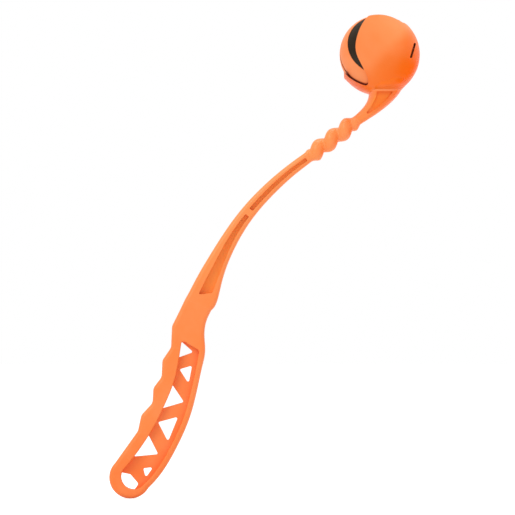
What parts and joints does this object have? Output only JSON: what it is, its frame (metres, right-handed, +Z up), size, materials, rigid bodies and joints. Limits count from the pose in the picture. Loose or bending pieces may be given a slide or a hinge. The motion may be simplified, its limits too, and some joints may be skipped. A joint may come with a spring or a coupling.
{
  "type": "dog ball thrower",
  "caption": "Orange plastic dog ball thrower with truss handle, bowed shaft, rolled neck and an eared cup holding an orange and black rubber ball",
  "frame": {"origin": "the middle of the grip, on the thrower's mirror plane", "axes": "+Z up from the butt towards the ball, +X forward to the side the cup reaches to, +Y through the thickness"},
  "size_m": [0.251, 0.0666, 0.3906],
  "materials": {
    "thrower_plastic": "satin orange moulded polypropylene",
    "core_rubber": "matte black moulded rubber",
    "cover_rubber": "matte orange moulded rubber"
  },
  "bodies": {
    "thrower": {"grip_head": "thrower_plastic", "finger_rail": "thrower_plastic", "palm_rail": "thrower_plastic", "butt_eye": "thrower_plastic", "truss_web": "thrower_plastic", "shaft_beam": "thrower_plastic", "neck_thread": "thrower_plastic", "cup_throat": "thrower_plastic", "cup_lip": "thrower_plastic", "cup_ear_left": "thrower_plastic", "cup_ear_right": "thrower_plastic"},
    "ball": {"ball_core_near": "core_rubber", "ball_core_far": "core_rubber", "ball_cap_near": "cover_rubber", "ball_cap_far": "cover_rubber", "ball_ring_near": "cover_rubber", "ball_ring_far": "cover_rubber"}
  },
  "joints": [
    {"name": "ball_release", "type": "slide", "parent": "thrower", "child": "ball", "axis": [-0.719, 0, 0.695], "range_m": [0, 0.08]}
  ]
}
